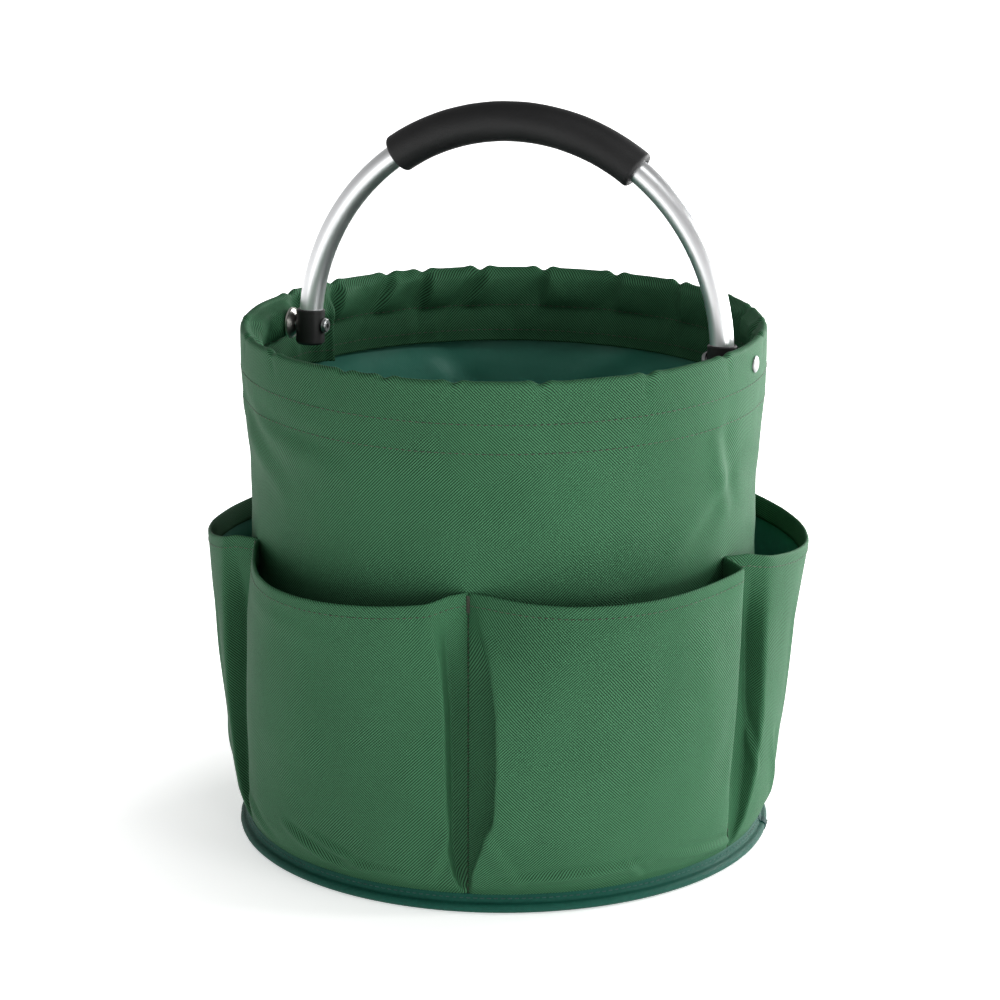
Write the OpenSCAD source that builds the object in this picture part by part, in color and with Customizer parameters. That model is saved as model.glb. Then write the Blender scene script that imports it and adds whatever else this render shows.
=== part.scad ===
// Round garden tool bag: a twill bucket with a stiffened rim, outside pockets and a swinging bail handle.
// Frame: origin on the floor at the centre of the base, +Z up, +X along the handle's pivot axis.

/* [Bag] */
// Outer diameter at the rim
bag_d = 330; // [310:5:350]
// Height from the floor to the rim
bag_h = 330; // [310:5:350]
// How far the wall draws in above the pockets
waist_in = 5.5; // [3:0.5:7]
// Thickness of the coated twill
cloth = 1.2; // [1:0.1:1.4]
// Depth of the hem turned down inside the rim
hem_h = 48; // [40:1:54]

/* [Pockets] */
// Seam angles round the wall, one pocket between each two
seam_angles = [-142, -76, -10.5, 68, 141];
// Height of the pocket mouths above the floor
pocket_top = 200; // [180:5:210]
// How far a pocket mouth stands off the wall
pocket_bulge = 30; // [22:1:32]
// How far a pocket's folded corner stands off the wall
corner_out = 18; // [12:1:20]
// How far a pocket mouth sags between its seams
mouth_sag = 7; // [0:1:10]

/* [Handle] */
// Radius of the bail's centre line
bail_r = 138.5; // [136:0.5:141]
// How far the bail sits towards its right-hand rivet
bail_shift = 5.3; // [0:0.1:5.5]
// Angle at which the bail stands back from upright
bail_lean = 4; // [0:1:8]
// Outer diameter of the aluminium tube
tube_d = 15; // [14:0.5:16]
// Wall thickness of the tube
tube_wall = 1.2; // [1:0.1:1.6]
// Outer diameter of the foam grip
grip_d = 25; // [22:1:28]
// Angle of the bail that the grip covers
grip_arc = 71; // [60:1:80]

/* [Hardware] */
// Diameter of the rivet's shank
rivet_d = 5.1; // [4.6:0.1:5.4]
// Diameter of the large cup washer
cup_d = 20; // [18:1:22]
// Width of the rim's steel band
hoop_w = 20; // [16:1:21]
// Thickness of the rim's steel band
hoop_t = 1.2; // [1:0.1:1.3]

/* [Hidden] */

$fn = 96;
bag_r = bag_d / 2;
tube_r = tube_d / 2;
rivet_r = rivet_d / 2;
gap = 0.1;            // between layers that lie on each other
slide_gap = 0.05;     // running clearance of the rivet and the tube's sockets

// Wall and hem
base_in = 1;          // how far the wall draws in at the floor
wall_low = 1.4;
waist_z = bag_h - 105;
flare_z = bag_h - 18;
hem_slot = 3.0;       // room for the hoop between the hem's two layers
hem_t = 2 * cloth + hem_slot;
hem_low = bag_h - hem_h;

// Rim hoop
pivot_z = bag_h - 14;
hoop_r = bag_r - cloth - hem_slot / 2 + hoop_t / 2;
hoop_low = pivot_z - hoop_w / 2 - 0.5;
hoop_split_angle = 90;
hoop_split = 1.2;
clip_angle = 12;
clip_t = 0.4;

// Base
board_t = 2.5;
piping_r = 2.9;       // radius of the covered piping
cord_r = 2.1;         // radius of the cord inside it
piping_ring_r = bag_r + 3.2;
piping_z = piping_r + 0.2;
binding_top = 11.2;
joint_angle = 11;     // where the binding's ends lap
joint_arc = 3;
joint_t = 0.6;

// Pockets
pocket_low = binding_top + gap;
pocket_foot = 3;      // how far a pocket stands off the wall at its foot
flange_angle = 0.7;   // flat sewn strip beside each seam
corner_angle = 5.5;   // from the seam's strip to a pocket's folded corner
seam_gap = 0.15;      // half the gap between two pockets' edges
pocket_columns = 14;  // across the face, from corner to corner
pocket_rows = 6;
tack_h = 11;

// Handle ends
ferrule_r = tube_r + 1.8;
ferrule_up = 10;      // above the pivot
ferrule_down = 12.5;  // below the pivot
socket_arc = 3.9;     // angle of the bail below the pivot that the ferrule takes in
chamfer = 0.7;

function ease(t) = (1 - cos(180 * max(0, min(1, t)))) / 2;
function wall_r(z) = bag_r - (z < waist_z
    ? base_in + (waist_in - base_in) * ease(z / waist_z)
    : waist_in * (1 - ease((z - waist_z) / (flare_z - waist_z))));
function mix(a, b, t) = a + (b - a) * t;

// ---- Bag body ----

// The wall and its hem are one cloth: up the outside, over the hoop and down the inside.
module bag_wall() {
    fold_r = hem_t / 2;
    fold_z = bag_h - fold_r;
    wall_z = [for (i = [0:12]) mix(wall_low, fold_z, i / 12)];
    hem_z = [for (i = [0:4]) mix(fold_z, hem_low, i / 4)];
    outside = [for (z = wall_z) [wall_r(z), z]];
    fold = [for (a = [20:20:160]) [bag_r - fold_r + fold_r * cos(a), fold_z + fold_r * sin(a)]];
    facing = [for (z = hem_z) [wall_r(z) - hem_t, z]];
    slot_inner = [for (i = [4:-1:0]) [wall_r(hem_z[i]) - hem_t + cloth, hem_z[i]]];
    slot_top = [[bag_r - hem_t + cloth, bag_h - cloth], [bag_r - cloth, bag_h - cloth]];
    inside = [for (i = [12:-1:0]) [wall_r(wall_z[i]) - cloth, wall_z[i]]];
    color("seagreen") difference() {
        rotate_extrude($fn = 120)
            polygon(concat(outside, fold, facing, slot_inner, slot_top, inside));
        for (side = [1, -1])
            along_pivot(side) translate([0, 0, bag_r - 12]) cylinder(h = 20, r = rivet_r + gap);
    }
}

// A rectangular ring between two radii and heights, over part of a turn.
module band(r_in, r_out, z_low, z_high, start = 0, arc = 360) {
    rotate([0, 0, start])
        rotate_extrude(angle = arc, $fn = 120)
            translate([r_in, z_low]) square([r_out - r_in, z_high - z_low]);
}

module along_pivot(side) {
    rotate([0, 0, side > 0 ? 0 : 180])
        translate([0, 0, pivot_z])
            rotate([0, 90, 0]) children();
}

module rim_hoop() {
    color("silver") difference() {
        band(hoop_r - hoop_t, hoop_r, hoop_low, hoop_low + hoop_w,
             hoop_split_angle + hoop_split / 2, 360 - hoop_split);
        for (side = [1, -1])
            along_pivot(side) translate([0, 0, bag_r - 10]) cylinder(h = 20, r = rivet_r + gap);
    }
}

module hoop_clip() {
    start = hoop_split_angle - clip_angle / 2;
    low = hoop_low - gap;
    high = hoop_low + hoop_w + gap;
    color("silver") difference() {
        band(hoop_r - hoop_t - gap - clip_t, hoop_r + gap + clip_t, low - clip_t, high + clip_t,
             start, clip_angle);
        band(hoop_r - hoop_t - gap, hoop_r + gap, low, high, start - 1, clip_angle + 2);
    }
}

// ---- Base ----

module base_panel() {
    color("darkslategray") cylinder(h = cloth, r = bag_r + 0.8, $fn = 120);
}

module base_board() {
    color("dimgray")
        translate([0, 0, cloth + gap]) cylinder(h = board_t, r = bag_r - 3, $fn = 120);
}

module base_lining() {
    color("darkslategray")
        translate([0, 0, cloth + board_t + 2 * gap]) cylinder(h = cloth, r = bag_r - 2.7, $fn = 120);
}

module ring(r_ring, r_tube, z) {
    rotate_extrude($fn = 120) translate([r_ring, z]) circle(r = r_tube, $fn = 48);
}

module piping_cord() {
    color("ivory") ring(piping_ring_r, cord_r, piping_z);
}

// The tape rolls round the cord and covers the seam where the wall, pockets and base meet.
module base_binding() {
    color("teal") difference() {
        union() {
            ring(piping_ring_r, piping_r, piping_z);
            rotate_extrude($fn = 120) polygon([
                [bag_r - base_in + 0.2, wall_low],
                [bag_r - base_in + 0.2, binding_top],
                [bag_r + 0.2, binding_top],
                [bag_r + 2.6, piping_z + 2],
                [bag_r + 2.6, wall_low]
            ]);
        }
        ring(piping_ring_r, cord_r + slide_gap, piping_z);
    }
}

// Where the binding's two ends lap, a second thickness wraps the roll.
module binding_joint() {
    near = piping_r + slide_gap;
    far = near + joint_t;
    low = [for (a = [-60:16:100]) [piping_ring_r + near * cos(a), piping_z + near * sin(a)]];
    top = [[bag_r + 0.3, binding_top - 0.05], [bag_r + 0.3 + joint_t, binding_top - 0.05]];
    high = [for (a = [100:-16:-60]) [piping_ring_r + far * cos(a), piping_z + far * sin(a)]];
    color("darkslategray")
        rotate([0, 0, joint_angle])
            rotate_extrude(angle = joint_arc, $fn = 120) polygon(concat(low, top, high));
}

// ---- Pockets ----

// A pocket's cloth goes from its seam along a flat strip, out to a folded corner and round its face.
// Its columns are an edge, the strip's end, the face from corner to corner, and the same back to the next seam.
last_column = pocket_columns + 4;
function on_face(i) = max(0, min(1, (i - 2) / pocket_columns));
function is_strip(i) = i < 2 || i > last_column - 2;
function bulge(t) = pocket_foot / pocket_bulge + (1 - pocket_foot / pocket_bulge) * pow(max(0, t), 0.6);
function mouth_z(i) = pocket_top - mouth_sag * (is_strip(i) ? 0 : sin(180 * on_face(i)));
function column_angle(a0, a1, i, t) =
    let (flange = i < 2 ? a0 + flange_angle : a1 - flange_angle,
         corner = flange_angle + corner_angle * mix(0.25, 1, min(1, 4 * t)))   // the fold runs in to the seam's foot
    i == 0 ? a0 + seam_gap
    : i == last_column ? a1 - seam_gap
    : is_strip(i) ? flange
    : mix(a0 + corner, a1 - corner, on_face(i));

// The outer face of the cloth at column i and at share t of the pocket's height.
function pocket_point(a0, a1, i, t) =
    let (z = mix(pocket_low, mouth_z(i), t),
         a = column_angle(a0, a1, i, t),
         out = is_strip(i) ? 0 : corner_out + (pocket_bulge - corner_out) * pow(sin(180 * on_face(i)), 0.7),
         r = wall_r(z) + gap + cloth + out * bulge(t))
    [r * cos(a), r * sin(a), z];

// The inner face lies one cloth thickness inside, square to the outer one in plan.
function pocket_inner(a0, a1, i, t) =
    let (p = pocket_point(a0, a1, i, t),
         q = pocket_point(a0, a1, min(last_column, i + 1), t) - pocket_point(a0, a1, max(0, i - 1), t),
         flat = [p[0], p[1]],
         inward = is_strip(i) ? -flat / norm(flat) : [-q[1], q[0]] / norm([q[0], q[1]]))
    [p[0] + cloth * inward[0], p[1] + cloth * inward[1], p[2]];

module pocket(k) {
    a0 = seam_angles[k];
    a1 = k + 1 < len(seam_angles) ? seam_angles[k + 1] : seam_angles[0] + 360;
    cols = last_column + 1;
    rows = pocket_rows + 1;
    shares = [for (j = [0:pocket_rows]) pow(j / pocket_rows, 1.4)];
    points = concat(
        [for (t = shares) for (i = [0:cols - 1]) pocket_point(a0, a1, i, t)],
        [for (t = shares) for (i = [0:cols - 1]) pocket_inner(a0, a1, i, t)]);
    back = rows * cols;
    function at(j, i, side) = side * back + j * cols + i;
    function quad(a, b, c, d) = [[a, b, c], [a, c, d]];
    skins = [for (j = [0:rows - 2]) for (i = [0:cols - 2]) for (t = concat(
        quad(at(j, i, 0), at(j + 1, i, 0), at(j + 1, i + 1, 0), at(j, i + 1, 0)),
        quad(at(j, i, 1), at(j, i + 1, 1), at(j + 1, i + 1, 1), at(j + 1, i, 1)))) t];
    edges = [for (i = [0:cols - 2]) for (t = concat(
        quad(at(0, i, 0), at(0, i + 1, 0), at(0, i + 1, 1), at(0, i, 1)),
        quad(at(rows - 1, i, 0), at(rows - 1, i, 1), at(rows - 1, i + 1, 1), at(rows - 1, i + 1, 0)))) t];
    ends = [for (j = [0:rows - 2]) for (t = concat(
        quad(at(j, 0, 0), at(j, 0, 1), at(j + 1, 0, 1), at(j + 1, 0, 0)),
        quad(at(j, cols - 1, 0), at(j + 1, cols - 1, 0), at(j + 1, cols - 1, 1), at(j, cols - 1, 1)))) t];
    color("seagreen") polyhedron(points, concat(skins, edges, ends));
}

// A bar of dense stitches closes the top of each seam.
module pocket_bartacks() {
    tack_r = wall_r(pocket_top - tack_h) + cloth + 0.4;
    color("darkolivegreen")
        for (a = seam_angles)
            rotate([0, 0, a])
                translate([tack_r, -1.1, pocket_top - tack_h - 1]) cube([1, 2.2, tack_h]);
}

// ---- Pivots, each profile drawn along the pivot axis from the bag's centre outwards ----

function foot(side) = bail_r + side * bail_shift;           // the bail's foot from the bag's axis
function inner_end(side) = foot(side) - ferrule_r;          // the ferrule's side that faces the centre
function outer_end(side) = foot(side) + ferrule_r;          // its side that faces the wall
wall_inner = bag_r - hem_t;

module rivet(side) {
    roll_end = inner_end(side) - 1.3;
    roll = 1.4;
    head = bag_r + gap;
    dome = [for (a = [10:20:90]) [5.2 * cos(a), head + 0.5 + 1.5 * sin(a)]];
    color("silver") along_pivot(side) rotate_extrude($fn = 64) polygon(concat(
        [[1.7, roll_end - roll], [3.7, roll_end - roll], [4.3, roll_end - roll + 0.5], [4.3, roll_end],
         [rivet_r, roll_end], [rivet_r, head], [5.2, head]],
        dome,
        [[0, head + 2], [0, roll_end + 5], [1.7, roll_end + 5]]));
}

module rivet_washer(side) {
    color("silver") along_pivot(side)
        translate([0, 0, inner_end(side) - 1.2]) difference() {
            cylinder(h = 1, r = 5, $fn = 64);
            translate([0, 0, -1]) cylinder(h = 3, r = rivet_r + gap, $fn = 64);
        }
}

module cup_washer(side) {
    hub = outer_end(side) + 0.3;
    rise = 2.8;
    t = 1.1;
    hole = rivet_r + gap;
    color("wheat") along_pivot(side) rotate_extrude($fn = 64) polygon([
        [hole, hub], [4.6, hub], [cup_d / 2 - 1, hub + rise], [cup_d / 2, hub + rise],
        [cup_d / 2, hub + rise + t], [cup_d / 2 - 1.3, hub + rise + t], [4.2, hub + t], [hole, hub + t]
    ]);
}

module spacer(side) {
    low = outer_end(side) + 1.5;
    color("black") along_pivot(side)
        translate([0, 0, low]) difference() {
            cylinder(h = wall_inner - gap - low, r = 4, $fn = 64);
            translate([0, 0, -1]) cylinder(h = 30, r = rivet_r + gap, $fn = 64);
        }
}

// ---- Handle ----

// The bail's own frame: its centre on the pivot axis, leaning back.
module in_bail() {
    translate([bail_shift, 0, pivot_z]) rotate([-bail_lean, 0, 0]) children();
}

// A length of the bail's ring, from one angle to another in the bail's plane.
module bail_arc(r, from, to) {
    in_bail() rotate([90, 0, 0]) rotate([0, 0, from])
        rotate_extrude(angle = to - from, $fn = 180) translate([bail_r, 0]) circle(r = r, $fn = 64);
}

module rivet_bore() {
    for (side = [1, -1])
        along_pivot(side)
            translate([0, 0, bail_r - 25]) cylinder(h = 50, r = rivet_r + slide_gap, $fn = 64);
}

module handle_tube() {
    reach = socket_arc - 0.1;
    color("lightgray") difference() {
        bail_arc(tube_r, -reach, 180 + reach);
        bail_arc(tube_r - tube_wall, -reach - 1, 181 + reach);
        rivet_bore();
    }
}

module foam_grip() {
    color("black") difference() {
        bail_arc(grip_d / 2, 90 - grip_arc / 2, 90 + grip_arc / 2);
        bail_arc(tube_r + slide_gap, 89 - grip_arc / 2, 91 + grip_arc / 2);
    }
}

module ferrule(side) {
    r = ferrule_r;
    color("black") difference() {
        in_bail() translate([side * bail_r, 0, 0]) rotate_extrude($fn = 64) polygon([
            [0, -ferrule_down], [r - 1.4, -ferrule_down], [r, -ferrule_down + 1.4],
            [r, ferrule_up - chamfer], [r - chamfer, ferrule_up], [0, ferrule_up]
        ]);
        if (side > 0) bail_arc(tube_r + slide_gap, -socket_arc, 2 * socket_arc);
        else bail_arc(tube_r + slide_gap, 180 - 2 * socket_arc, 180 + socket_arc);
        rivet_bore();
    }
}

bag_wall();
rim_hoop();
hoop_clip();
base_panel();
base_board();
base_lining();
piping_cord();
base_binding();
binding_joint();
pocket(0);  // pocket_front_left
pocket(1);  // pocket_front_right
pocket(2);  // pocket_right
pocket(3);  // pocket_back
pocket(4);  // pocket_left
pocket_bartacks();
rivet(1);  // rivet_right
rivet(-1);  // rivet_left
cup_washer(1);  // cup_washer_right
cup_washer(-1);  // cup_washer_left
spacer(1);  // spacer_right
spacer(-1);  // spacer_left
rivet_washer(1);  // rivet_washer_right
rivet_washer(-1);  // rivet_washer_left
handle_tube();
foam_grip();
ferrule(1);  // ferrule_right
ferrule(-1);  // ferrule_left
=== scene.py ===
import math

import bmesh
import bpy
import numpy as np
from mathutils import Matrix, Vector, noise


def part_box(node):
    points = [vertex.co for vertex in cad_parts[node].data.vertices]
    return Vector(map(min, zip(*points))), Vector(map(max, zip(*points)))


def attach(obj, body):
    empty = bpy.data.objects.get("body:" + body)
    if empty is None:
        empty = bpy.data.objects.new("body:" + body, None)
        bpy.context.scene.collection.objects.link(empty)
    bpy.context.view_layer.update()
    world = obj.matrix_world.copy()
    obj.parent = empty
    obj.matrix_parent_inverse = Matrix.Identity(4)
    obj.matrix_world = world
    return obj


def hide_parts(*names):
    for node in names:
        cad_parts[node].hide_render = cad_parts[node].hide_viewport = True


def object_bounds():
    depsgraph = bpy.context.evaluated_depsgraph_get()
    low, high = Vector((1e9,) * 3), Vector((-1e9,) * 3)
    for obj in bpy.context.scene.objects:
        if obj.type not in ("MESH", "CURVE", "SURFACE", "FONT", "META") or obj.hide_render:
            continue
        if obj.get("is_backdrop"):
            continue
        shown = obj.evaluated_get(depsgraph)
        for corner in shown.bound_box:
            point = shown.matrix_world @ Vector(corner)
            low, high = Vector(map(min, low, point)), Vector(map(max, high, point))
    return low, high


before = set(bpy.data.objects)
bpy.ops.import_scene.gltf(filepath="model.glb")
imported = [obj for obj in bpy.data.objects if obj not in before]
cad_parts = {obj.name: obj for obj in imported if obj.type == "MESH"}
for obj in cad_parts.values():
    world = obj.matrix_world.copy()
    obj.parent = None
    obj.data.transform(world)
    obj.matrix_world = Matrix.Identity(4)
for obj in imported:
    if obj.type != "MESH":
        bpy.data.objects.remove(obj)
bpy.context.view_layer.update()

TAU = 2 * math.pi
MM = 0.001

# ---------------------------------------------------------------- camera, floor and light

AZIMUTH = math.radians(21.5)
PITCH = math.radians(15.82)
AWAY, HEIGHT = 2.112, 0.811

camera = bpy.data.objects.new("camera", bpy.data.cameras.new("camera"))
bpy.context.scene.collection.objects.link(camera)
camera.data.sensor_width = 36
camera.data.lens = 124.2
camera.data.shift_x = -0.0037
camera.data.clip_end = 50
camera.location = (AWAY * math.sin(AZIMUTH), -AWAY * math.cos(AZIMUTH), HEIGHT)
camera.rotation_euler = (math.pi / 2 - PITCH, 0, AZIMUTH)
bpy.context.scene.camera = camera
bpy.context.scene.view_settings.view_transform = "Standard"


def area_light(name, place, target, width, height, power):
    data = bpy.data.lights.new(name, "AREA")
    data.shape, data.size, data.size_y, data.energy = "RECTANGLE", width, height, power
    light = bpy.data.objects.new(name, data)
    bpy.context.scene.collection.objects.link(light)
    light.location = place
    light.rotation_euler = (Vector(target) - Vector(place)).to_track_quat("-Z", "Y").to_euler()
    return light


def from_camera(right, toward, up):
    """A place given by the camera's own right, its own front, and up."""
    c, n = math.cos(AZIMUTH), math.sin(AZIMUTH)
    return (right * c + toward * n, right * n - toward * c, up)


MIDDLE = (0, 0, 0.18)
area_light("front_right", from_camera(2.0, 1.9, 0.45), MIDDLE, 1.0, 0.6, 25)
area_light("front_left", from_camera(-2.07, 1.74, 0.25), MIDDLE, 1.0, 0.6, 2.5)
area_light("back_right", from_camera(2.3, -1.5, 0.60), MIDDLE, 2.0, 1.4, 106)
area_light("high_right", from_camera(2.3, 0.5, 1.5), MIDDLE, 0.35, 0.35, 16)
area_light("top", from_camera(0.4, 0.9, 2.4), MIDDLE, 1.0, 1.0, 8)

# A bright band round the horizon, as of a white sweep, under a dim ceiling.
world = bpy.data.worlds.new("studio")
world.use_nodes = True
tree = world.node_tree


def world_node(kind):
    return tree.nodes.new("ShaderNode" + kind)


direction, split, level = world_node("TexCoord"), world_node("SeparateXYZ"), world_node("MapRange")
tree.links.new(direction.outputs["Generated"], split.inputs[0])
tree.links.new(split.outputs[2], level.inputs[0])
for socket, value in zip(level.inputs[1:5], (0.05, 0.55, 0.84, 0.22)):
    socket.default_value = value
soft, bright = tree.nodes["Background"], world_node("Background")
soft.inputs[0].default_value = bright.inputs[0].default_value = (1, 1, 1, 1)
tree.links.new(level.outputs[0], soft.inputs[1])
bright.inputs[1].default_value = 1.0
choose, path = world_node("MixShader"), world_node("LightPath")
tree.links.new(path.outputs["Is Camera Ray"], choose.inputs[0])
tree.links.new(soft.outputs[0], choose.inputs[1])
tree.links.new(bright.outputs[0], choose.inputs[2])
tree.links.new(choose.outputs[0], tree.nodes["World Output"].inputs[0])
bpy.context.scene.world = world

# ---------------------------------------------------------------- materials


class Nodes:
    """A material's node tree, with short names for the nodes used here."""

    def __init__(self, name):
        self.material = bpy.data.materials.new(name)
        self.material.use_nodes = True
        self.tree = self.material.node_tree
        self.shader = self.tree.nodes["Principled BSDF"]

    def add(self, kind, **values):
        node = self.tree.nodes.new("ShaderNode" + kind)
        for key, value in values.items():
            setattr(node, key, value)
        return node

    def put(self, socket, value):
        if isinstance(value, bpy.types.NodeSocket):
            self.tree.links.new(value, socket)
        else:
            socket.default_value = value

    def math(self, operation, a, b=0.0, clamp=False):
        node = self.add("Math", operation=operation, use_clamp=clamp)
        self.put(node.inputs[0], a)
        self.put(node.inputs[1], b)
        return node.outputs[0]

    def mix(self, factor, a, b):
        node = self.add("Mix", data_type="RGBA")
        self.put(node.inputs["Factor"], factor)
        self.put(node.inputs[6], a)
        self.put(node.inputs[7], b)
        return node.outputs[2]

    def ramp(self, value, low, high):
        node = self.add("MapRange")
        node.interpolation_type = "SMOOTHSTEP"
        self.put(node.inputs[0], value)
        node.inputs[1].default_value, node.inputs[2].default_value = low, high
        return node.outputs[0]

    def noise(self, scale, detail=2.0, vector=None, rough=0.5):
        node = self.add("TexNoise")
        node.inputs["Scale"].default_value = scale
        node.inputs["Detail"].default_value = detail
        node.inputs["Roughness"].default_value = rough
        self.put(node.inputs["Vector"], vector if vector is not None else self.place())
        return node.outputs[0]

    def place(self):
        return self.add("TexCoord").outputs["Object"]

    def cloth(self):
        """u and v along the cloth, in metres."""
        split = self.add("SeparateXYZ")
        self.put(split.inputs[0], self.add("UVMap", uv_map="cloth").outputs[0])
        return split.outputs[0], split.outputs[1]

    def bump(self, height, distance, strength=1.0, onto=None):
        node = self.add("Bump")
        node.inputs["Strength"].default_value = strength
        node.inputs["Distance"].default_value = distance
        self.put(node.inputs["Height"], height)
        if onto is not None:
            self.put(node.inputs["Normal"], onto)
        return node.outputs[0]

    def finish(self, color, rough, normal=None, **fixed):
        self.put(self.shader.inputs["Base Color"], color)
        self.put(self.shader.inputs["Roughness"], rough)
        if normal is not None:
            self.put(self.shader.inputs["Normal"], normal)
        for key, value in fixed.items():
            self.shader.inputs[key.replace("_", " ")].default_value = value
        return self.material


TWILL_PITCH = 1.36 * MM   # from rib to rib, across the ribs
TAPE_PITCH = 1.1 * MM


def rgb(r, g, b):
    return (r, g, b, 1)


def scaled(color, *factors):
    """The same colour, darker and lighter by the factors given."""
    return [rgb(*[c * factor for c in color]) for factor in factors]


def twill(name, dark, light):
    """Coated twill: two sets of diagonal ribs, one of them a little stronger from place to place."""
    n = Nodes(name)
    u, v = n.cloth()
    turn = TAU / (TWILL_PITCH * math.sqrt(2))
    rise = n.math("SINE", n.math("MULTIPLY", n.math("SUBTRACT", u, v), turn))
    fall = n.math("SINE", n.math("MULTIPLY", n.math("ADD", u, v), turn))
    share = n.ramp(n.noise(16, 1), 0.42, 0.58)
    rise = n.math("MULTIPLY", rise, n.math("ADD", n.math("MULTIPLY", share, 0.7), 0.15))
    fall = n.math("MULTIPLY", fall, n.math("SUBTRACT", 0.85, n.math("MULTIPLY", share, 0.7)))
    weave = n.math("ADD", n.math("MULTIPLY", n.math("ADD", rise, fall), 0.95), 0.5, clamp=True)
    uneven = n.math("ADD", n.math("MULTIPLY", n.noise(900, 1), 0.35), -0.17)
    tone = n.math("ADD", weave, uneven, clamp=True)
    wear = n.ramp(n.noise(9, 3), 0.3, 0.75)
    base = n.mix(tone, rgb(*dark), rgb(*light))
    faded = n.mix(n.math("MULTIPLY", wear, 0.10), base, rgb(*[min(1, c * 1.5 + 0.01) for c in light]))
    height = n.math("ADD", weave, n.math("MULTIPLY", n.noise(1400, 1), 0.3))
    rough = n.math("ADD", n.math("MULTIPLY", tone, 0.10), 0.62)
    normal = n.bump(n.noise(60, 3), 0.0012, 0.35)
    normal = n.bump(height, 0.0003, 0.55, normal)
    return n.finish(faded, rough, normal, Specular_IOR_Level=0.14)


def coated(name, color, rough=0.42, ribs=0.35):
    """The smooth coated back of the cloth, where the weave only shows faintly."""
    n = Nodes(name)
    u, v = n.cloth()
    turn = TAU / (1.3 * MM)
    rib = n.math("SINE", n.math("MULTIPLY", n.math("SUBTRACT", u, v), turn))
    blotch = n.ramp(n.noise(14, 4), 0.3, 0.7)
    base = n.mix(n.math("MULTIPLY", blotch, 0.35), *scaled(color, 1, 1.45))
    normal = n.bump(n.noise(45, 3), 0.002, 0.4)
    normal = n.bump(n.math("ADD", n.math("MULTIPLY", rib, ribs), n.noise(700, 2)), 0.00012, 0.5, normal)
    gloss = n.math("ADD", n.math("MULTIPLY", n.noise(80, 3), 0.15), rough - 0.07)
    return n.finish(base, gloss, normal)


def tape(name, color):
    """Close-woven satin binding tape with a fine slanting rib."""
    n = Nodes(name)
    u, v = n.cloth()
    rib = n.math("SINE", n.math("MULTIPLY", n.math("ADD", u, v), TAU / TAPE_PITCH))
    fine = n.math("SINE", n.math("MULTIPLY", n.math("SUBTRACT", u, v), TAU / (0.6 * MM)))
    weave = n.math("ADD", n.math("MULTIPLY", n.math("ADD", rib, n.math("MULTIPLY", fine, 0.5)), 0.33), 0.5)
    uneven = n.math("MULTIPLY", n.noise(500, 2), 0.5)
    tone = n.math("ADD", n.math("MULTIPLY", weave, 0.6), uneven, clamp=True)
    base = n.mix(tone, *scaled(color, 0.45, 1.5))
    normal = n.bump(n.noise(120, 3), 0.001, 0.5)
    normal = n.bump(weave, 0.0003, 0.7, normal)
    rough = n.math("ADD", n.math("MULTIPLY", weave, 0.12), 0.44)
    return n.finish(base, rough, normal, Specular_IOR_Level=0.13)


def thread(name, color):
    n = Nodes(name)
    u, v = n.cloth()
    twist = n.math("SINE", n.math("MULTIPLY", n.math("ADD", u, v), TAU / (0.5 * MM)))
    base = n.mix(n.ramp(n.noise(150, 2), 0.3, 0.7), *scaled(color, 0.7, 1.4))
    return n.finish(base, 0.55, n.bump(twist, 0.0001, 0.6), Sheen_Weight=0.1)


def metal(name, color, rough, grain, brushed=None):
    """Satin metal: fine grain, faint smudges, and an optional brushing direction."""
    n = Nodes(name)
    vector = n.place()
    if brushed is not None:
        stretch = n.add("Mapping")
        stretch.inputs["Scale"].default_value = brushed
        n.put(stretch.inputs[0], vector)
        vector = stretch.outputs[0]
    fine = n.noise(grain, 3, vector)
    smudge = n.ramp(n.noise(25, 3), 0.35, 0.75)
    base = n.mix(n.math("MULTIPLY", smudge, 0.25), *scaled(color, 1, 0.88))
    marks = 0.12   # how much the grain changes the roughness
    gloss = n.math("ADD", n.math("ADD", n.math("MULTIPLY", fine, marks), n.math("MULTIPLY", smudge, 0.05)),
                   rough - marks / 2)
    return n.finish(base, gloss, n.bump(fine, 0.00005, 0.35), Metallic=1.0)


def plastic(name, color, rough):
    n = Nodes(name)
    grain = n.noise(1600, 2)
    cloud = n.noise(30, 3)
    base = n.mix(cloud, *scaled(color, 0.8, 1.3))
    gloss = n.math("ADD", n.math("MULTIPLY", cloud, 0.12), rough - 0.06)
    return n.finish(base, gloss, n.bump(grain, 0.00008, 0.5), Specular_IOR_Level=0.35)


def foam(name):
    """Closed-cell foam: small cells that catch the light, and a dull skin."""
    n = Nodes(name)
    cells = n.add("TexVoronoi")
    cells.inputs["Scale"].default_value = 1500
    n.put(cells.inputs["Vector"], n.place())
    cell = cells.outputs["Distance"]
    cloud = n.noise(35, 4)
    base = n.mix(cloud, rgb(0.003, 0.003, 0.0033), rgb(0.0095, 0.0098, 0.0102))
    normal = n.bump(n.noise(90, 3), 0.0006, 0.4)
    normal = n.bump(cell, 0.00018, 0.6, normal)
    rough = n.math("ADD", n.math("MULTIPLY", cloud, 0.15), 0.48)
    return n.finish(base, rough, normal, Specular_IOR_Level=0.38)


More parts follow.
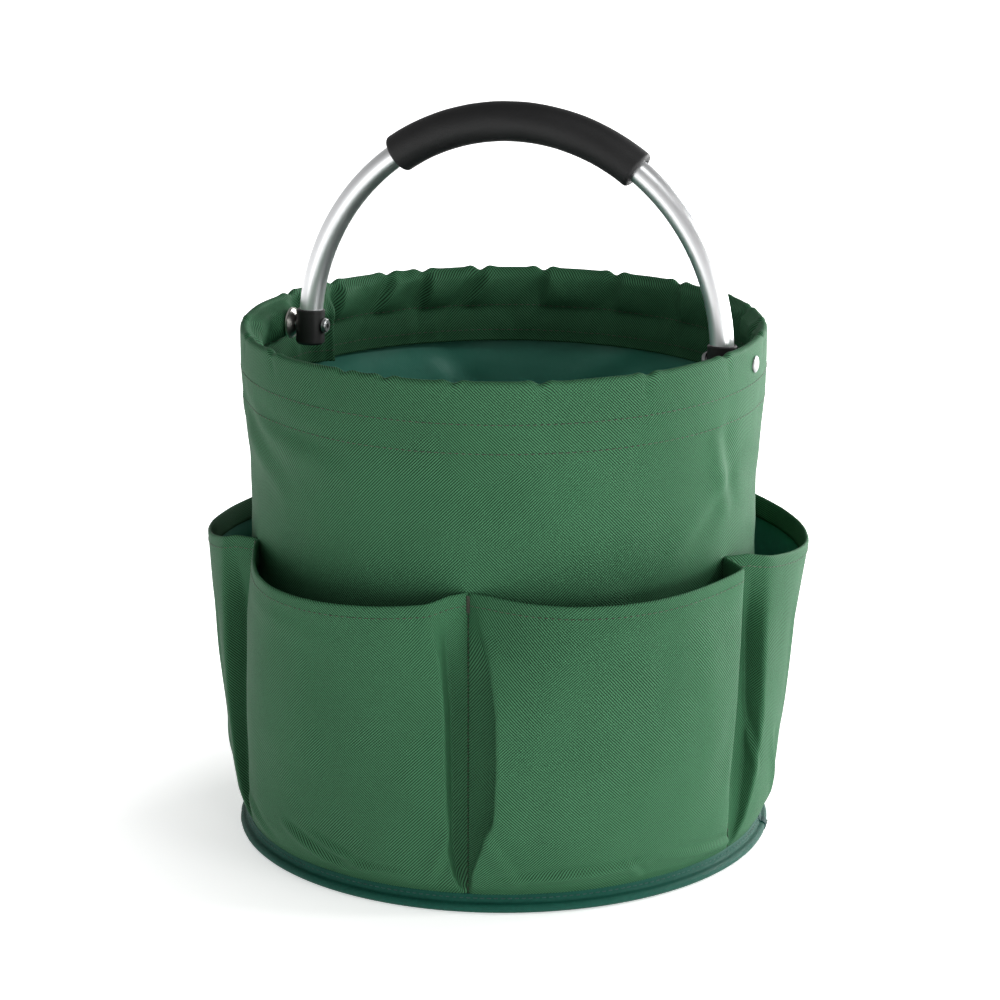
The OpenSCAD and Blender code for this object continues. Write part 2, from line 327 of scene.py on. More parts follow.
DARK_GREEN, LIGHT_GREEN = (0.0036, 0.0185, 0.0072), (0.048, 0.172, 0.080)
M = {
    "twill": twill("twill_green", DARK_GREEN, LIGHT_GREEN),
    "inside": coated("coating_teal", (0.046, 0.222, 0.162)),
    "base_cloth": coated("base_cloth", (0.012, 0.05, 0.036), 0.5, 0.8),
    "binding": tape("binding_teal", (0.0065, 0.072, 0.050)),
    "lap": tape("binding_lap", (0.008, 0.05, 0.045)),
    "thread": thread("thread_olive", (0.030, 0.038, 0.018)),
    "teal_thread": thread("thread_teal", (0.012, 0.06, 0.05)),
    "tube": metal("aluminium_satin", (0.86, 0.87, 0.88), 0.34, 700),
    "rivet": metal("aluminium_rivet", (0.36, 0.37, 0.37), 0.34, 900),
    "washer": metal("zinc_washer", (0.74, 0.73, 0.68), 0.33, 900),
    "steel": metal("steel_band", (0.6, 0.61, 0.62), 0.4, 500, (1, 1, 8)),
    "black": plastic("ferrule_black", (0.012, 0.012, 0.012), 0.42),
    "nylon": plastic("nylon_black", (0.02, 0.02, 0.02), 0.5),
    "board": plastic("board_grey", (0.06, 0.06, 0.058), 0.7),
    "foam": foam("foam_black"),
}
cord = Nodes("cord_cotton")
M["cord"] = cord.finish(cord.mix(cord.noise(600), rgb(0.5, 0.47, 0.4), rgb(0.75, 0.72, 0.65)), 0.8,
                        cord.bump(cord.noise(900), 0.0003))

# The floor glows more away from the bag, so that it reads white without lighting the bag from below.
GLOW_START, GLOW_END, GLOW_NEAR, GLOW_MORE = 0.17, 0.42, 0.54, 0.50   # two distances in metres, two strengths
pale = Nodes("floor_pale")
M["floor"] = pale.finish(pale.mix(pale.noise(3), rgb(0.93, 0.93, 0.93), rgb(0.96, 0.96, 0.96)), 0.7)
pale.shader.inputs["Emission Color"].default_value = (1, 1, 1, 1)
distance = pale.add("VectorMath", operation="LENGTH")
pale.put(distance.inputs[0], pale.place())
glow = pale.math("MULTIPLY", pale.ramp(distance.outputs["Value"], GLOW_START, GLOW_END), GLOW_MORE)
pale.put(pale.shader.inputs["Emission Strength"], pale.math("ADD", glow, GLOW_NEAR))

FLOOR_HALF, FLOOR_Z = 9, -0.4 * MM
floor_mesh = bpy.data.meshes.new("floor")
corners = ((-1, -1), (1, -1), (1, 1), (-1, 1))
floor_mesh.from_pydata([(x * FLOOR_HALF, y * FLOOR_HALF, FLOOR_Z) for x, y in corners], [], [(0, 1, 2, 3)])
floor_mesh.materials.append(M["floor"])
floor = bpy.data.objects.new("floor", floor_mesh)
bpy.context.scene.collection.objects.link(floor)
floor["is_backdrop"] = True

# ---------------------------------------------------------------- mesh helpers


def mesh_object(name, points, faces, material, uv):
    """points are (n, 3); faces are index lists; uv gives one (u, v) for each face corner."""
    me = bpy.data.meshes.new(name)
    me.from_pydata([tuple(p) for p in points], [], [tuple(f) for f in faces])
    me.materials.append(material)
    layer = me.uv_layers.new(name="cloth")
    layer.data.foreach_set("uv", np.asarray(uv, np.float32).ravel())
    me.polygons.foreach_set("use_smooth", [True] * len(me.polygons))
    me.update()
    ob = bpy.data.objects.new(name, me)
    bpy.context.scene.collection.objects.link(ob)
    return ob


def grid_faces(nu, nv, closed):
    i = np.arange(nu if closed else nu - 1)[:, None]
    j = np.arange(nv - 1)[None, :]
    k = (i + 1) % nu
    quads = np.stack([i * nv + j, k * nv + j, k * nv + j + 1, i * nv + j + 1], -1)
    return quads.reshape(-1, 4)


def grid_uv(u, v):
    """u and v are (columns, rows); round a closed grid they have one more column than the points."""
    cols, rows = u.shape[0] - 1, u.shape[1] - 1
    i, j = np.arange(cols)[:, None], np.arange(rows)[None, :]
    corners = [(i, j), (i + 1, j), (i + 1, j + 1), (i, j + 1)]
    return np.stack([np.stack([u[a, b], v[a, b]], -1) for a, b in corners], 2).reshape(-1, 2)


def grid_object(name, p, u, v, material, closed=False):
    nu, nv = p.shape[:2]
    return mesh_object(name, p.reshape(-1, 3), grid_faces(nu, nv, closed), material, grid_uv(u, v))


def make_outward(ob, fill=False):
    """Turns a closed mesh's faces outwards, after filling its holes if asked."""
    bm = bmesh.new()
    bm.from_mesh(ob.data)
    if fill:
        bmesh.ops.holes_fill(bm, edges=[e for e in bm.edges if e.is_boundary], sides=200)
    bmesh.ops.recalc_face_normals(bm, faces=bm.faces)
    bm.to_mesh(ob.data)
    bm.free()


def normals(p, closed=False):
    """Unit normals of a grid, on the side that u cross v points to."""
    if closed:
        du = np.roll(p, -1, 0) - np.roll(p, 1, 0)
    else:
        du = np.gradient(p, axis=0)
    n = np.cross(du, np.gradient(p, axis=1))
    return n / np.maximum(np.linalg.norm(n, axis=-1, keepdims=True), 1e-12)


def noise_at(p, scale, seed=0.0):
    """Smooth noise from -1 to 1 at each point of an array."""
    flat = p.reshape(-1, 3) * scale
    values = [noise.noise(Vector((a[0] + seed, a[1] - seed, a[2] + 2 * seed))) for a in flat]
    return np.array(values).reshape(p.shape[:-1])


def bell(x, width):
    return np.exp(-((x / width) ** 2))


def polar(r, angle, z):
    """Points from their radius, their angle in radians and their height."""
    return np.stack(np.broadcast_arrays(r * np.cos(angle), r * np.sin(angle), z), -1)


def run_along(line):
    """How far along a line each of its points is."""
    return np.concatenate([[0], np.cumsum(np.linalg.norm(np.diff(line, axis=0), axis=1))])


def walk(at, run, values):
    """A line's values at the given distances along it."""
    return np.stack([np.interp(at, run, column) for column in values.T], -1)


def settle(ob, pin, grow, frames, bending):
    """Runs Cloth on a mesh whose rest size is larger than its shape, and returns the points it comes to."""
    for key, weights in (("pin", pin), ("grow", grow)):
        group = ob.vertex_groups.new(name=key)
        levels = np.round(np.asarray(weights).ravel(), 2)
        for level in np.unique(levels):
            if level > 0:
                group.add(np.nonzero(levels == level)[0].tolist(), float(level), "REPLACE")
    mod = ob.modifiers.new("settle", "CLOTH")
    s = mod.settings
    s.quality = 5
    s.mass = 0.15
    s.air_damping = 4
    s.tension_stiffness = s.compression_stiffness = 40
    s.shear_stiffness = 12
    s.bending_stiffness = bending
    s.tension_damping = s.compression_damping = 12
    s.shear_damping, s.bending_damping = 8, 1
    s.vertex_group_mass = "pin"
    s.pin_stiffness = 5
    s.vertex_group_shrink = "grow"
    s.shrink_min, s.shrink_max = 0.0, -0.08
    s.effector_weights.gravity = 0
    mod.collision_settings.use_collision = False
    scene = bpy.context.scene
    mod.point_cache.frame_start, mod.point_cache.frame_end = 1, frames
    for f in range(1, frames + 1):
        scene.frame_set(f)
    result = ob.evaluated_get(bpy.context.evaluated_depsgraph_get()).to_mesh()
    co = np.zeros(len(result.vertices) * 3)
    result.vertices.foreach_get("co", co)
    ob.modifiers.remove(mod)
    ob.vertex_groups.clear()
    scene.frame_set(1)
    return co.reshape(-1, 3)


def thicken(ob, thickness, inside=None):
    """Smooths a cloth and gives it its thickness, on the side away from its normals."""
    sub = ob.modifiers.new("smooth", "SUBSURF")
    sub.levels = sub.render_levels = 1
    sub.boundary_smooth = "PRESERVE_CORNERS"
    solid = ob.modifiers.new("cloth", "SOLIDIFY")
    solid.thickness, solid.offset = thickness, -1
    solid.use_even_offset = True
    if inside is not None:
        ob.data.materials.append(inside)
        solid.material_offset = 1
        solid.material_offset_rim = 0


# A stitch rises out of the cloth and dips back: share of its length, thickness, height above the cloth.
STITCH = ((0, 0.45, -0.5), (0.2, 0.9, 0.35), (0.5, 1, 0.6), (0.8, 0.9, 0.35), (1, 0.45, -0.5))
STITCH_SIDES = 6


def dashes(name, lines, stitch, gap, radius, material, zigzag=0.0):
    """Rows of stitches on the bag. Each line is (points, normals), both (n, 3)."""
    points, faces, uv = [], [], []
    sides = STITCH_SIDES
    ring = [(math.cos(TAU * k / sides), math.sin(TAU * k / sides)) for k in range(sides)]
    for line, up in lines:
        run = run_along(line)
        count = int(run[-1] // (stitch + gap))
        for c in range(count):
            start = (c + 0.5) * run[-1] / count - stitch / 2
            first = len(points)
            for t, swell, lift in STITCH:
                at = start + t * stitch
                centre, n = walk(at, run, line), walk(at, run, up)
                ahead = walk(at + 1e-4, run, line) - walk(at - 1e-4, run, line)
                n = n / np.linalg.norm(n)
                side = np.cross(ahead, n)
                side = side / max(np.linalg.norm(side), 1e-9)
                centre = centre + n * lift * radius + side * zigzag * (t - 0.5)
                for a, b in ring:
                    points.append(centre + (side * a + n * b) * radius * swell)
            for r in range(len(STITCH) - 1):
                for k in range(sides):
                    a, b = first + r * sides + k, first + r * sides + (k + 1) % sides
                    faces.append((a, b, b + sides, a + sides))
                    u, v = k * 0.3e-3, r * 0.6e-3
                    uv += [(u, v), (u + 0.3e-3, v), (u + 0.3e-3, v + 0.6e-3), (u, v + 0.6e-3)]
            last = first + (len(STITCH) - 1) * sides
            faces.append(tuple(first + k for k in reversed(range(sides))))
            faces.append(tuple(last + k for k in range(sides)))
            uv += [(0, 0)] * (2 * sides)
    ob = mesh_object(name, points, faces, material, uv)
    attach(ob, "bag")
    return ob


def sample(p, i, j, closed=False):
    """Points of a grid at fractional columns i and rows j."""
    i, j = np.asarray(i, float), np.asarray(j, float)
    nu, nv = p.shape[:2]
    i0 = np.floor(i).astype(int)
    fi = (i - i0)[..., None]
    if closed:
        ia, ib = i0 % nu, (i0 + 1) % nu
    else:
        ia = np.clip(i0, 0, nu - 1)
        ib = np.clip(i0 + 1, 0, nu - 1)
    j0 = np.clip(np.floor(j).astype(int), 0, nv - 2)
    fj = (j - j0)[..., None]
    return ((p[ia, j0] * (1 - fi) + p[ib, j0] * fi) * (1 - fj)
            + (p[ia, j0 + 1] * (1 - fi) + p[ib, j0 + 1] * fi) * fj)


# ---------------------------------------------------------------- the bag's sizes, from the CAD nodes

wall_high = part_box("bag_wall")[1]
RIM_R, RIM_Z = wall_high.x, wall_high.z
POCKET_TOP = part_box("pocket_front_left")[1].z
PIVOT_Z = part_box("rivet_right")[0].z / 2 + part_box("rivet_right")[1].z / 2
CLOTH = 1.2 * MM
WAIST_IN = 5.5 * MM
WAIST_Z, FLARE_Z = RIM_Z - 105 * MM, RIM_Z - 18 * MM
HEM_T = 5.4 * MM
HEM_LOW = RIM_Z - 48 * MM
ROW_1, ROW_2 = RIM_Z - 25.5 * MM, RIM_Z - 43.5 * MM
SEAMS = [-142, -76, -10.5, 68, 141, 218]
POCKETS = ["pocket_front_left", "pocket_front_right", "pocket_right", "pocket_back", "pocket_left"]


def ease(t):
    return (1 - np.cos(np.pi * np.clip(t, 0, 1))) / 2


def wall_r(z):
    z = np.asarray(z, float)
    low = 1 * MM + (WAIST_IN - 1 * MM) * ease(z / WAIST_Z)
    high = WAIST_IN * (1 - ease((z - WAIST_Z) / (FLARE_Z - WAIST_Z)))
    return RIM_R - np.where(z < WAIST_Z, low, high)


# ---------------------------------------------------------------- wall, rim and hem: one cloth

COLS = 540
FLAT_R = 162 * MM   # the radius at which the wall is laid flat for its weave and its folds
# Where the cloth is gathered over the band: degrees round the rim, how strongly, and how many mm the
# pleat drifts on its way down to the first row of stitches.
GATHERS = [
    (140, 1.0, 20), (131, 1.0, 5), (117, 1.25, 22), (102, 1.2, 5), (84, 1.1, 9), (66, 1.1, -1),
    (50, 0.9, 7), (36, 0.7, -6), (22, 0.9, 5), (8, 0.7, -4), (-14, 0.7, 5), (-37, 0.8, -5),
    (-61, 0.9, 6), (-79, 0.8, -6), (-94, 0.9, 5), (-104, 0.8, -5), (-127, 0.8, 6), (-143, 0.9, -6),
    (-160, 0.9, 5), (171, 0.9, -6), (156, 1.0, 8),
]
# Soft folds in the wall: from (degrees, height in mm) to the same, then width and depth in mm.
WALL_FOLDS = [
    ((-152, 286), (-122, 238), 9, 2.08), ((-138, 284), (-98, 262), 8, 1.44),
    ((-18, 286), (-9, 224), 8, 2.08), ((-8, 262), (-30, 212), 8, 1.6),
    ((-92, 252), (-44, 238), 10, 0.96), ((-70, 278), (-40, 262), 8, 1.12),
    ((20, 284), (44, 230), 10, 1.92), ((70, 280), (96, 236), 9, 1.6),
    ((130, 284), (112, 226), 9, 1.76), ((160, 280), (176, 232), 9, 1.92),
    ((-176, 284), (-164, 226), 8, 1.6),
]


def turn_from(angle, centre):
    """Degrees from centre, wrapped to -180 to 180."""
    return (angle - centre + 180) % 360 - 180


def crease(u, v, start, end, width, depth):
    """A pleat along a line on the cloth: up on one side, down on the other, and fading at both ends."""
    (u0, v0), (u1, v1) = start, end
    span = math.hypot(u1 - u0, v1 - v0)
    du, dv = (u1 - u0) / span, (v1 - v0) / span
    t = ((u - u0) * du + (v - v0) * dv) / span
    d = ((u - u0) * -dv + (v - v0) * du) / width
    fade = np.clip(np.sin(np.pi * np.clip(t, 0, 1)), 0, 1) ** 0.7
    return depth * fade * (bell(d, 1.0) - 0.75 * bell(d - 1.3, 0.9))


# Beside each pivot the hem stands away from the wall in upright folds: degrees, mm inwards.
PIVOT_FOLDS = [(160, 9.5), (199, 6.0), (22, 3.0), (-21, 3.0)]
# How far from its own middle the level bail reaches, at its tube and at its grip, and the gap left round it.
TUBE_REACH, GRIP_REACH, SWING_GAP = 146 * MM, 151 * MM, 2.4 * MM
GRIP_HALF = 38   # degrees of the level bail, each side of its middle, that the grip takes
PLEAT_DEPTH = 8.5 * MM   # of the deepest pleats in the hem, where the bail leaves that much room


def hem_room(angle):
    """How far the hem may stand in from its line without touching the bail when that lies level."""
    shift = (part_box("ferrule_right")[0].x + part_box("ferrule_left")[1].x) / 2 * np.cos(np.radians(angle))
    grip = np.abs(np.abs(turn_from(angle, 0)) - 90) < GRIP_HALF
    reach = np.where(grip, GRIP_REACH, TUBE_REACH) + shift + SWING_GAP
    room = np.clip(RIM_R - HEM_T - reach, 4 * MM, 12.5 * MM)
    soft = np.hanning(17) / np.hanning(17).sum()
    return np.convolve(np.concatenate([room[-8:], room, room[:8]]), soft, "valid")


def facets(angle, over):
    """The hem's pleats: from each gather's valley, 0, a slow rise to a ridge, 1, and a drop to the next."""
    per_degree = RIM_R * TAU / 360 / MM
    lines = sorted(GATHERS)
    out = np.zeros((len(angle), len(over)))
    for j, t in enumerate(over):
        valleys = [c + lean * t / per_degree for c, _, lean in lines]
        at, high = [], []
        for k, (_, force, _) in enumerate(lines):
            ahead = valleys[k + 1] if k + 1 < len(lines) else valleys[0] + 360
            share = (0.22 if k % 3 else 0.50) + 0.15 * t * (1 if k % 2 else -0.6)
            ridge = 0.78 if k % 2 else 0.86
            at += [valleys[k] + part * (ahead - valleys[k]) for part in (0, share, ridge, ridge + 0.09)]
            high += [0.0, 0.42 + 0.2 * (k % 3 == 1), 0.65 + 0.35 * force / 1.25, 0.04]
        out[:, j] = np.interp(angle, at, high, period=360)
    return (6 * out + np.roll(out, 1, 0) + np.roll(out, -1, 0)) / 8


def build_wall():
    up = np.concatenate([np.linspace(6, 276, 50), np.linspace(279, 325.5, 18)]) * MM
    fold_r = HEM_T / 2
    fold_z = RIM_Z - fold_r
    fold = [(RIM_R - fold_r + fold_r * math.cos(a), fold_z + fold_r * math.sin(a))
            for a in np.radians([0, 30, 60, 90, 120, 150, 180])]
    down = np.linspace(325, HEM_LOW / MM - 2, 19) * MM
    profile = [(float(wall_r(z)), z) for z in up] + fold + [(float(wall_r(z)) - HEM_T, z) for z in down]
    profile = np.array(profile)
    rows = len(profile)
    angle = np.linspace(0, 360, COLS, endpoint=False)
    a = np.radians(angle)[:, None]
    r, z = np.tile(profile[:, 0], (COLS, 1)), np.tile(profile[:, 1], (COLS, 1))
    first_fold, last_fold = len(up), len(up) + len(fold) - 1
    row = np.arange(rows)[None, :]
    facing = row > last_fold
    outer = row < first_fold
    p = polar(r, a, z)
    # Slow unevenness of a sewn bag, nothing at the base and little at the band.
    loose = np.clip((z - 0.02) / 0.1, 0, 1) * np.clip((RIM_Z - 24 * MM - z) / 0.03, 0, 1)
    loose = np.where(outer, loose, 0)
    r = r + loose * (1.6 * MM * noise_at(p, 11, 3.0) + 0.7 * MM * noise_at(p * [1, 1, 2.2], 34, 9.0))
    laid = np.zeros_like(r)
    for (a0, z0), (a1, z1), width, depth in WALL_FOLDS:
        along = turn_from(angle, (a0 + a1) / 2)[:, None] * TAU / 360 * FLAT_R
        half = (a1 - a0) / 2 * TAU / 360 * FLAT_R
        fold = crease(along, z, (-half, z0 * MM), (half, z1 * MM), width * MM, depth * MM)
        laid += np.where(outer, fold, 0)
    # The hem counted from the rim: 1 at its first row of stitches, and past that down to its edge.
    hem = (RIM_Z - z) / (RIM_Z - ROW_1)
    over = np.clip(hem, 0, 1)
    under = np.clip((ROW_1 - z) / (ROW_1 - HEM_LOW), 0, 1)
    r = r - np.where(facing, 0.8 * MM * np.sin(np.pi * under) * (hem > 1), 0)
    crumple = 1 - 2.4 * np.abs(noise_at(p * [1, 1, 0.8], 46, 12.0))
    # The gathers: a notch in the rim's fold, and a pucker down the wall below it.
    lower = np.zeros_like(r)
    for centre, force, lean in GATHERS:
        d = turn_from(angle, centre)[:, None] * (RIM_R * TAU / 360) / MM
        d = d - lean * over - 0.4 * lean * under
        notch = bell(d, 3.0)
        near_top = np.where(outer, np.clip((z - fold_z + 7 * MM) / (7 * MM), 0, 1), (1 - over) ** 2)
        z = z - force * MM * near_top * (1.9 * notch - 0.9 * bell(np.abs(d) - 6.5, 3.2))
        lower += force * (bell(d - 6, 5) - bell(d, 3))
        down_side = np.clip((z - ROW_1) / (16 * MM), 0, 1) ** 2
        r = r - np.where(outer, 0.8 * MM * bell(d, 2.6) * force * down_side, 0)
        below = np.clip((ROW_1 - z) / (6 * MM), 0, 1) * np.clip((z - 0.245) / (40 * MM), 0, 1)
        r = r - np.where(outer, 0.45 * MM * bell(d, 7) * force * below, 0)
    below_row = (0.9 * lower + 0.5 * crumple) * MM * np.sin(np.pi * under) ** 0.7
    r = r - np.where(facing, below_row * (hem > 1), 0)
    # The hem is fuller than the band it covers, so it stands in pleats between the rim and the stitches.
    swell = (0.25 + 0.75 * np.sin(np.pi * over) ** 0.6) * (hem <= 1)
    room = hem_room(angle)[:, None]
    pleated = (np.minimum(room, PLEAT_DEPTH) * facets(angle, over[0]) + 1.1 * MM * crumple) * swell
    for centre, lift in PIVOT_FOLDS:
        d = turn_from(angle, centre)[:, None] * (RIM_R * TAU / 360) / MM
        fade = np.clip((RIM_Z - z - 7 * MM) / (10 * MM), 0, 1)
        pleated = pleated + lift * MM * (bell(d, 4.0) + 0.5 * bell(d - 8, 6)) * fade
    p = polar(r, a, z)
    p[..., 2] += np.where(outer, 0, 0.6 * MM) * noise_at(p, 30, 5.0) * (z > RIM_Z - 6 * MM)
    u = np.tile(np.append(np.radians(angle), TAU)[:, None] * FLAT_R, (1, rows))
    v = np.tile(run_along(profile), (COLS + 1, 1))
    ob = grid_object("wall_cloth", p, u, v, M["twill"], closed=True)
    height = p[..., 2]
    pin = np.zeros((COLS, rows))
    pin[:, :2] = 1
    held = np.clip((POCKET_TOP - 15 * MM - height) / (20 * MM), 0, 1)
    pin = np.maximum(pin, np.where(outer, held, 0))
    near = np.minimum(np.abs(height - ROW_1), np.abs(height - ROW_2))
    pin = np.maximum(pin, np.where(near < 2.4 * MM, 0.85, 0))
    pin = np.maximum(pin, np.where((row >= first_fold) & (row <= last_fold), 0.35, 0))
    grow = np.where(height > ROW_2, 0.35, np.where(height > POCKET_TOP, 0.3, 0.1))
    grow = np.where(facing, 1.0, grow)
    moved = settle(ob, pin, grow, 14, bending=0.6).reshape(p.shape)
    rest_r = np.hypot(p[..., 0], p[..., 1])
    new_r = np.hypot(moved[..., 0], moved[..., 1])
    least = np.where(facing, -1.2 * MM, np.where(height > ROW_2, -0.3 * MM, -2.5 * MM))
    most = np.where(facing | (height > ROW_2), 1.2 * MM, 2.5 * MM)
    change = np.clip(new_r - rest_r, least, most)
    turn = np.arctan2(moved[..., 1], moved[..., 0]) - np.arctan2(p[..., 1], p[..., 0])
    turn = np.clip((turn + np.pi) % TAU - np.pi, -0.012, 0.012)
    theta = np.arctan2(p[..., 1], p[..., 0]) + turn
    dz = np.clip(moved[..., 2] - p[..., 2], -1.5 * MM, 1.5 * MM)
    p = polar(rest_r + change, theta, p[..., 2] + dz)
    # The folds are laid in after the cloth has settled, which would draw them flat.
    p = p + normals(p, closed=True) * laid[..., None]
    r, theta = np.hypot(p[..., 0], p[..., 1]), np.arctan2(p[..., 1], p[..., 0])
    r = np.where(facing, np.clip(r - pleated, RIM_R - HEM_T - room, RIM_R - HEM_T + 0.4 * MM), r)
    # At each pivot the washer draws the hem in against itself.
    for side, washer in ((1, "cup_washer_right"), (-1, "cup_washer_left")):
        reach = max(abs(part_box(washer)[0].x), abs(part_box(washer)[1].x)) + 1.4 * MM
        y, x = r * np.sin(theta), r * np.cos(theta) * side
        away = np.hypot(y, (p[..., 2] - PIVOT_Z) / 0.62)
        drawn = 1 - ease((away - 9 * MM) / (15 * MM))
        puckered = reach + 0.8 * MM * noise_at(p, 150, 3.0) * (away > 10 * MM)
        r = np.where(facing & (x > 0), r + (puckered - r) * drawn, r)
    p = polar(r, theta, p[..., 2])
    ob.data.vertices.foreach_set("co", p.ravel())
    ob.data.update()
    thicken(ob, CLOTH, M["inside"])
    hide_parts("bag_wall")
    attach(ob, "bag")
    return p, profile, first_fold, last_fold


wall_p, wall_profile, FOLD_A, FOLD_B = build_wall()
wall_n = normals(wall_p, closed=True)


def wall_line(z, inside=False):
    """A line round the wall (or its hem) at a height, with the cloth's normals."""
    count = 720
    rows = np.arange(FOLD_B + 1, len(wall_profile)) if inside else np.arange(0, FOLD_A)
    heights = wall_profile[rows, 1]
    order = np.argsort(heights)
    j = np.interp(z, heights[order], rows[order])
    i = np.linspace(0.0, 360.0, count) / 360 * COLS
    return sample(wall_p, i, np.full(count, j), True), sample(wall_n, i, np.full(count, j), True)


RIM_STITCH = (3.0 * MM, 1.1 * MM, 0.27 * MM)   # its length, the gap to the next, and its radius
dashes("rim_stitches", [wall_line(ROW_1), wall_line(ROW_2)], *RIM_STITCH, M["thread"])
dashes("hem_stitches", [wall_line(ROW_1, True), wall_line(ROW_2 + 1 * MM, True)], *RIM_STITCH, M["thread"])

# ---------------------------------------------------------------- pockets

P_COLS, P_ROWS = 120, 56
POCKET_FOOT_Z = 7 * MM
# Share of a pocket's height at which each line of its sizes holds.
LEVELS = [0.0, 0.03, 0.09, 0.19, 0.29, 0.44, 0.63, 0.81, 1.0]
# In mm, at each level: how far along from the first seam and how far out its folded corner stands,
# the same beside the second seam, and how far out the face stands.
FOOT = (0.8, 0.3, 0.8, 0.3, 0.4)
SIZES = {
    "pocket_front_left": [FOOT, (5, 3.5, 4, 6, 5), (12, 7, 7.5, 12, 10), (18, 9.5, 9.5, 16, 14),
                          (22, 11, 10, 18.5, 17), (23, 12.5, 10.5, 20.5, 21), (22, 12, 11, 21, 24),
                          (21, 11.5, 14, 20, 26), (19.7, 8.5, 22, 19.5, 28.5)],
    "pocket_front_right": [FOOT, (1.8, 5, 4, 3.5, 5), (3.4, 11, 11, 7, 10), (10, 17, 15, 10.5, 15),
                           (17.5, 21, 17, 12.5, 19), (19, 24, 17, 15.5, 23), (19, 24, 15.5, 18, 25),
                           (13.5, 16, 14, 19.5, 26.5), (3, 1.5, 13.5, 21, 28.5)],
    "pocket_right": [FOOT, (4, 3.5, 3.5, 3.5, 4.5), (10, 7, 7, 7, 8.5), (15, 10.5, 10, 10.5, 11.5),
                     (19, 12.5, 11, 12.5, 13.5), (22, 14.5, 12, 14.5, 17.5), (23, 16, 12, 16, 23),
                     (23, 17, 13, 17, 29), (23.5, 17, 15, 17, 35.5)],
    "pocket_back": [FOOT, (3.5, 3.5, 3.5, 3.5, 4.5), (7, 7, 7, 7, 8.5), (10, 10.5, 10, 10.5, 11.5),
                    (12, 12.5, 12, 12.5, 14.5), (13, 14.5, 13, 14.5, 18.5), (14, 16, 14, 16, 23),
                    (17, 17, 17, 17, 26.5), (21, 17, 21, 17, 29)],
    "pocket_left": [FOOT, (3.5, 3.5, 4, 3.5, 4.5), (7, 7, 10, 7, 8.5), (10, 10.5, 14, 10.5, 12),
                    (11, 12.5, 17, 12.5, 14.5), (12, 14.5, 19, 15, 19), (13, 16, 20, 17, 24),
                    (14, 17, 19, 17.5, 29.5), (15, 17, 17.5, 18, 34.5)],
}
MOUTH_SAG = {"pocket_front_left": 8.0, "pocket_front_right": 3.0, "pocket_right": 13.0, "pocket_back": 7.0,
             "pocket_left": 14.0}
MOUTH_Z = POCKET_TOP - 1.0 * MM
FOLD_OVER = 0.2   # how far a folded corner hangs over its strip, as a share of the strip


def pocket_plan(k, z, sizes):
    """One pocket's outer face at a height, from seam to seam, evenly spaced, and its length."""
    h = np.clip((z - 11 * MM) / (MOUTH_Z - 11 * MM), 0, 1)
    c0, g0, c1, g1, gm = [float(np.interp(h, LEVELS, [row[m] for row in sizes])) * MM for m in range(5)]
    base = float(wall_r(z)) + CLOTH + 0.15 * MM
    lap = math.radians(0.04)
    a0, a1 = math.radians(SEAMS[k]) + lap, math.radians(SEAMS[k + 1]) - lap
    b0, b1 = a0 + c0 / (base + g0), a1 - c1 / (base + g1)
    s = np.linspace(0, 1, 401)
    face = g0 + (g1 - g0) * s
    soft0, soft1 = (0.75 + 0.65 * float(np.clip(1 - g / (0.55 * gm), 0, 1)) for g in (g0, g1))
    face = face + (gm - face) * np.sin(np.pi * s) ** (soft0 + (soft1 - soft0) * s)
    # From its seam the cloth lies against the wall, turns back, and stands up to a fold that hangs over it;
    # at the mouth it goes straight.
    boxed = 0.88 * float(ease((1.0 - h) / 0.3))
    t = np.linspace(0, 1, 90)[:-1]
    knee = 0.62
    lie = np.interp(t, [0, knee, 1], [0, knee + (1 + FOLD_OVER - knee) * boxed, 1])
    rise0, rise1 = (np.interp(t, [0, knee, 1], [0, knee * (1 - boxed) * g, g]) for g in (g0, g1))
    angle = np.concatenate([a0 + (b0 - a0) * lie, b0 + (b1 - b0) * s, a1 + (b1 - a1) * lie[::-1]])
    out = np.concatenate([rise0, face, rise1[::-1]])
    xy = np.stack([(base + out) * np.cos(angle), (base + out) * np.sin(angle)], -1)
    run = run_along(xy)
    fine = np.linspace(0, run[-1], 1200)
    xy = walk(fine, run, xy)
    soft = max(3, int(1.5 * MM / (fine[1] - fine[0])))
    kernel = np.hanning(2 * soft + 3)[1:-1]
    kernel /= kernel.sum()
    pad = len(kernel) // 2
    wide = np.concatenate([2 * xy[:1] - xy[pad:0:-1], xy, 2 * xy[-1:] - xy[-2:-pad - 2:-1]])
    xy = np.stack([np.convolve(wide[:, m], kernel, "valid") for m in range(2)], -1)
    run = run_along(xy)
    return walk(np.linspace(0, run[-1], P_COLS), run, xy), run[-1]


